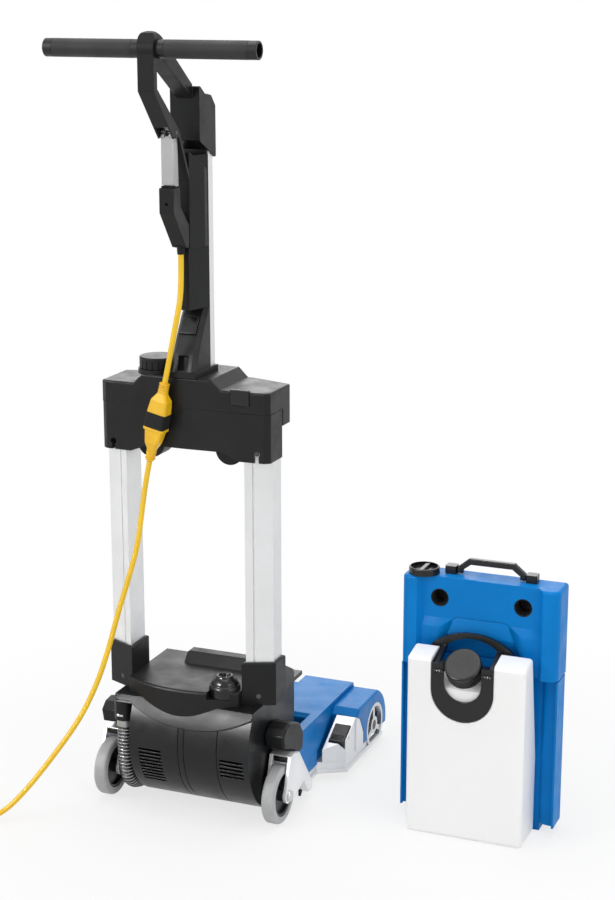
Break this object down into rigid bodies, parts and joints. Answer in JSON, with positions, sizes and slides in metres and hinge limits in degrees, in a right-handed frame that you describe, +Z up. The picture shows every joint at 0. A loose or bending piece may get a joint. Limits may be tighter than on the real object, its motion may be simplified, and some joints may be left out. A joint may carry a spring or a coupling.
{
  "type": "floor scrubber",
  "caption": "Upright walk-behind floor scrubber: tilting handle column on a roller-brush head, ribbed suction hose, yellow mains cord, and a lift-out tank with water bottle standing beside it.",
  "frame": {"origin": "on the floor, midway between the two wheels", "axes": "+X to the operator's right, +Y the way of travel, +Z up"},
  "size_m": [0.9903, 0.6591, 1.151],
  "materials": {
    "silver_casting": "silver-painted casting, satin",
    "blue_cover": "moulded blue, semi gloss",
    "blue_tank": "rotomoulded blue, semi gloss",
    "black_plastic": "fine-grained black moulding",
    "gloss_black": "smooth black",
    "black_anodised": "black anodised",
    "black_rubber": "soft black rubber",
    "hose_plastic": "ribbed flexible black",
    "grey_tyre": "light grey non-marking rubber",
    "dark_rim": "black",
    "dark_core": "dark grey",
    "bristle": "nylon",
    "bearing_ring": "silver ring",
    "column_aluminium": "brushed, clear anodised",
    "lever_steel": "brushed",
    "steel": "zinc plated",
    "motor_can": "varnished laminations",
    "motor_shell": "pressed can",
    "filter_felt": "pleated felt",
    "yellow_cord": "smooth yellow jacket",
    "yellow_plug": "moulded yellow",
    "bottle_white": "milky white"
  },
  "bodies": {
    "chassis": {"base_frame": "silver_casting", "rear_cover": "blue_cover", "brush_hood": "blue_cover", "squeegee_blades": "black_rubber", "pivot_cap": "black_plastic", "belt_guard": "black_plastic", "head_pins": "steel", "end_bearing": "bearing_ring", "drive_belt": "black_rubber", "extension_cord": "yellow_cord", "cord_coil": "yellow_cord", "coil_tie": "black_rubber", "wall_plug": "yellow_plug"},
    "brush": {"brush_core": "dark_core", "bristles": "bristle"},
    "wheel_left": {"tyre_left": "grey_tyre", "rim_left": "dark_rim"},
    "wheel_right": {"tyre_right": "grey_tyre", "rim_right": "dark_rim"},
    "pedal": {"pedal": "gloss_black"},
    "upright": {"motor_housing": "black_plastic", "deck": "black_plastic", "brush_motor": "motor_can", "suction_motor": "motor_shell", "valve_seat": "gloss_black", "column_sockets": "black_plastic", "columns": "column_aluminium", "upright_pins": "steel", "box_shell": "black_plastic", "box_cover": "black_plastic", "air_filter": "filter_felt", "suction_spigots": "black_rubber", "mast_cover": "black_plastic", "mast_extrusion": "black_anodised", "handle_loop": "black_plastic", "t_bar": "black_anodised", "grips": "black_rubber", "switch_arm": "black_plastic", "cord_gland": "black_rubber", "hose_elbow": "black_plastic", "suction_hose": "hose_plastic", "machine_lead": "yellow_cord", "cord_connectors": "yellow_plug", "cord_strap": "black_rubber"},
    "rotor": {"motor_shaft": "steel"},
    "lever": {"lever": "lever_steel"},
    "power_switch": {"power_switch": "gloss_black"},
    "filter_cap": {"filter_cap": "black_plastic"},
    "box_latch": {"box_latch": "gloss_black"},
    "valve_poppet": {"valve_poppet": "steel"},
    "tank": {"tank_body": "blue_tank", "lid_seal": "black_rubber"},
    "lid": {"tank_lid": "blue_tank", "handle_clips": "gloss_black"},
    "drain_knob": {"drain_knob": "gloss_black"},
    "carry_handle": {"carry_handle": "gloss_black"},
    "water_bottle": {"bottle": "bottle_white", "bottle_yoke": "gloss_black"},
    "bottle_bail": {"bottle_bail": "gloss_black"},
    "bottle_cap": {"bottle_cap": "gloss_black"}
  },
  "joints": [
    {"name": "handle_tilt", "type": "hinge", "parent": "chassis", "child": "upright", "pos_m": [0, 0.05, 0.118], "axis": [1, 0, 0], "range_deg": [0, 60], "deforming": ["extension_cord", "suction_hose"]},
    {"name": "wheel_left_spin", "type": "hinge", "parent": "chassis", "child": "wheel_left", "pos_m": [-0.1386, 0, 0.044], "axis": [1, 0, 0], "continuous": true},
    {"name": "wheel_right_spin", "type": "hinge", "parent": "chassis", "child": "wheel_right", "pos_m": [0.1386, 0, 0.044], "axis": [1, 0, 0], "continuous": true},
    {"name": "brush_spin", "type": "hinge", "parent": "chassis", "child": "brush", "pos_m": [0, 0.305, 0.042], "axis": [1, 0, 0], "continuous": true},
    {"name": "motor_spin", "type": "hinge", "parent": "upright", "child": "rotor", "pos_m": [0, 0.05, 0.118], "axis": [1, 0, 0], "continuous": true},
    {"name": "pedal_rock", "type": "hinge", "parent": "chassis", "child": "pedal", "pos_m": [0.163, 0.19264, 0.06367], "axis": [1, 0, 0], "range_deg": [-5, 5], "stiffness_Nm_per_rad": 1},
    {"name": "lever_pull", "type": "hinge", "parent": "upright", "child": "lever", "pos_m": [0, -0.045, 1.015], "axis": [1, 0, 0], "range_deg": [0, 10], "stiffness_Nm_per_rad": 0.6, "springref_deg": -8.59},
    {"name": "power_rock", "type": "hinge", "parent": "upright", "child": "power_switch", "pos_m": [0, 0.01321, 0.73696], "axis": [1, 0, 0], "range_deg": [0, 6]},
    {"name": "filter_cap_turn", "type": "hinge", "parent": "upright", "child": "filter_cap", "pos_m": [-0.054, 0.016, 0.685], "axis": [0, 0, 1], "range_deg": [0, 90]},
    {"name": "latch_press", "type": "slide", "parent": "upright", "child": "box_latch", "axis": [0, 1, 0], "range_m": [0, 0.003], "stiffness_N_per_m": 800, "springref_m": -0.002},
    {"name": "valve_press", "type": "slide", "parent": "upright", "child": "valve_poppet", "axis": [0, 0, -1], "range_m": [0, 0.005], "stiffness_N_per_m": 500, "springref_m": -0.003},
    {"name": "tank_lift", "type": "slide", "parent": "chassis", "child": "tank", "axis": [0, 0, 1], "range_m": [0, 0.4]},
    {"name": "lid_lift", "type": "slide", "parent": "tank", "child": "lid", "axis": [0, 0, 1], "range_m": [0, 0.1]},
    {"name": "drain_knob_turn", "type": "hinge", "parent": "lid", "child": "drain_knob", "pos_m": [0.324, 0.113, 0.38], "axis": [0, 0, 1], "range_deg": [0, 120]},
    {"name": "carry_handle_fold", "type": "hinge", "parent": "lid", "child": "carry_handle", "pos_m": [0.422, 0.128, 0.384], "axis": [1, 0, 0], "range_deg": [0, 80]},
    {"name": "bottle_pull", "type": "slide", "parent": "tank", "child": "water_bottle", "axis": [0, -1, 0], "range_m": [0, 0.15]},
    {"name": "bottle_bail_swing", "type": "hinge", "parent": "water_bottle", "child": "bottle_bail", "pos_m": [0.406, 0.053, 0.262], "axis": [1, 0, 0], "range_deg": [0, 70]},
    {"name": "bottle_cap_turn", "type": "hinge", "parent": "water_bottle", "child": "bottle_cap", "pos_m": [0.406, 0.066, 0.246], "axis": [0, -0.6428, 0.766], "continuous": true}
  ],
  "couplings": [
    {"joint": "motor_spin", "follows": "brush_spin", "ratio": 2}
  ]
}
